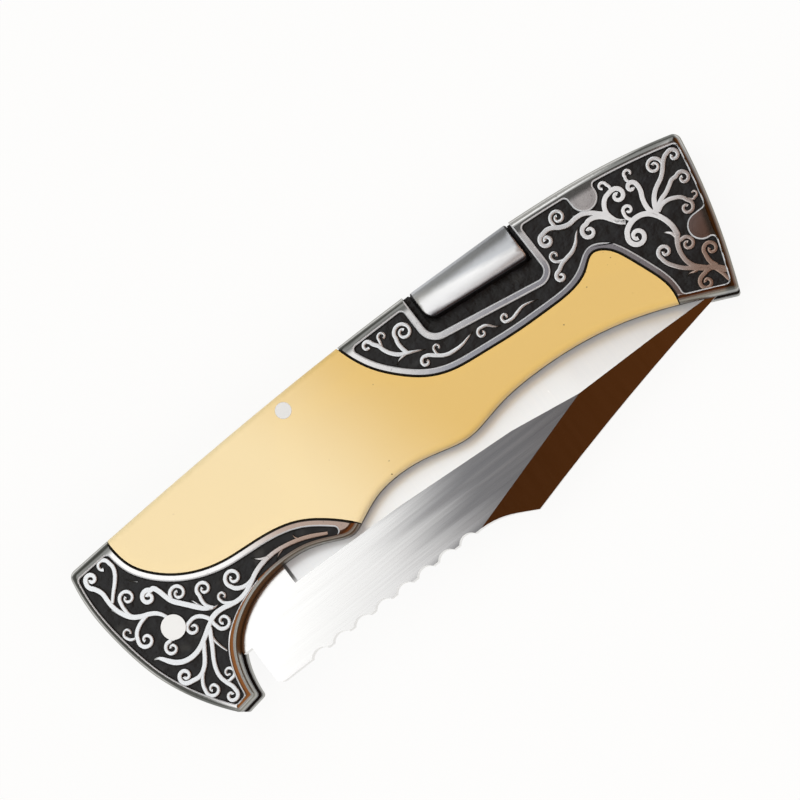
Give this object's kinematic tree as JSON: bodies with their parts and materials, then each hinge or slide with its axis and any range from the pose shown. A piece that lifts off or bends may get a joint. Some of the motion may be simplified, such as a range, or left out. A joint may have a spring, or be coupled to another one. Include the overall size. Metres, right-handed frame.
{
  "type": "folding pocket knife",
  "caption": "Folding lock-back pocket knife with cream resin scales, scroll-cast metal bolsters, a thumb saddle on the lock bar and a clip-point blade with a scalloped spine.",
  "frame": {"origin": "centre of the closed knife's footprint, on the plane its right side lies on", "axes": "+X from the blade pivot to the butt, +Y to the spine and the thumb saddle, +Z out of the left side, which faces up"},
  "size_m": [0.1216, 0.0402, 0.0126],
  "materials": {
    "blade_steel": "satin ground",
    "spring_steel": "brushed",
    "polished_steel": "polished",
    "liner_steel": "brushed",
    "pin_steel": "ground flush",
    "cast_bolster": "polished rim and scrolls over a darkened field",
    "washer_bronze": "plain",
    "cream_resin": "polished"
  },
  "bodies": {
    "handle": {"lock_spring": "spring_steel", "back_spacer": "spring_steel", "blade_pivot_pin": "pin_steel", "lock_bar_pin": "pin_steel", "spine_rivet": "pin_steel", "butt_rivet": "pin_steel", "left_liner": "liner_steel", "left_scale": "cream_resin", "left_front_bolster": "cast_bolster", "left_rear_bolster": "cast_bolster", "left_pivot_washer": "washer_bronze", "right_liner": "liner_steel", "right_scale": "cream_resin", "right_front_bolster": "cast_bolster", "right_rear_bolster": "cast_bolster", "right_pivot_washer": "washer_bronze"},
    "blade": {"blade": "blade_steel"},
    "lock_bar": {"lock_bar": "spring_steel", "thumb_saddle": "polished_steel"}
  },
  "joints": [
    {"name": "blade_pivot", "type": "hinge", "parent": "handle", "child": "blade", "pos_m": [-0.05136, 0.00046, 0.0063], "axis": [0, 0, -1], "range_deg": [0, 180]},
    {"name": "lock_bar_rocker", "type": "hinge", "parent": "handle", "child": "lock_bar", "pos_m": [-0.01621, 0.01726, 0.0063], "axis": [0, 0, -1], "range_deg": [0, 4], "stiffness_Nm_per_rad": 1, "springref_deg": -8.59, "deforming": ["lock_spring"]}
  ]
}
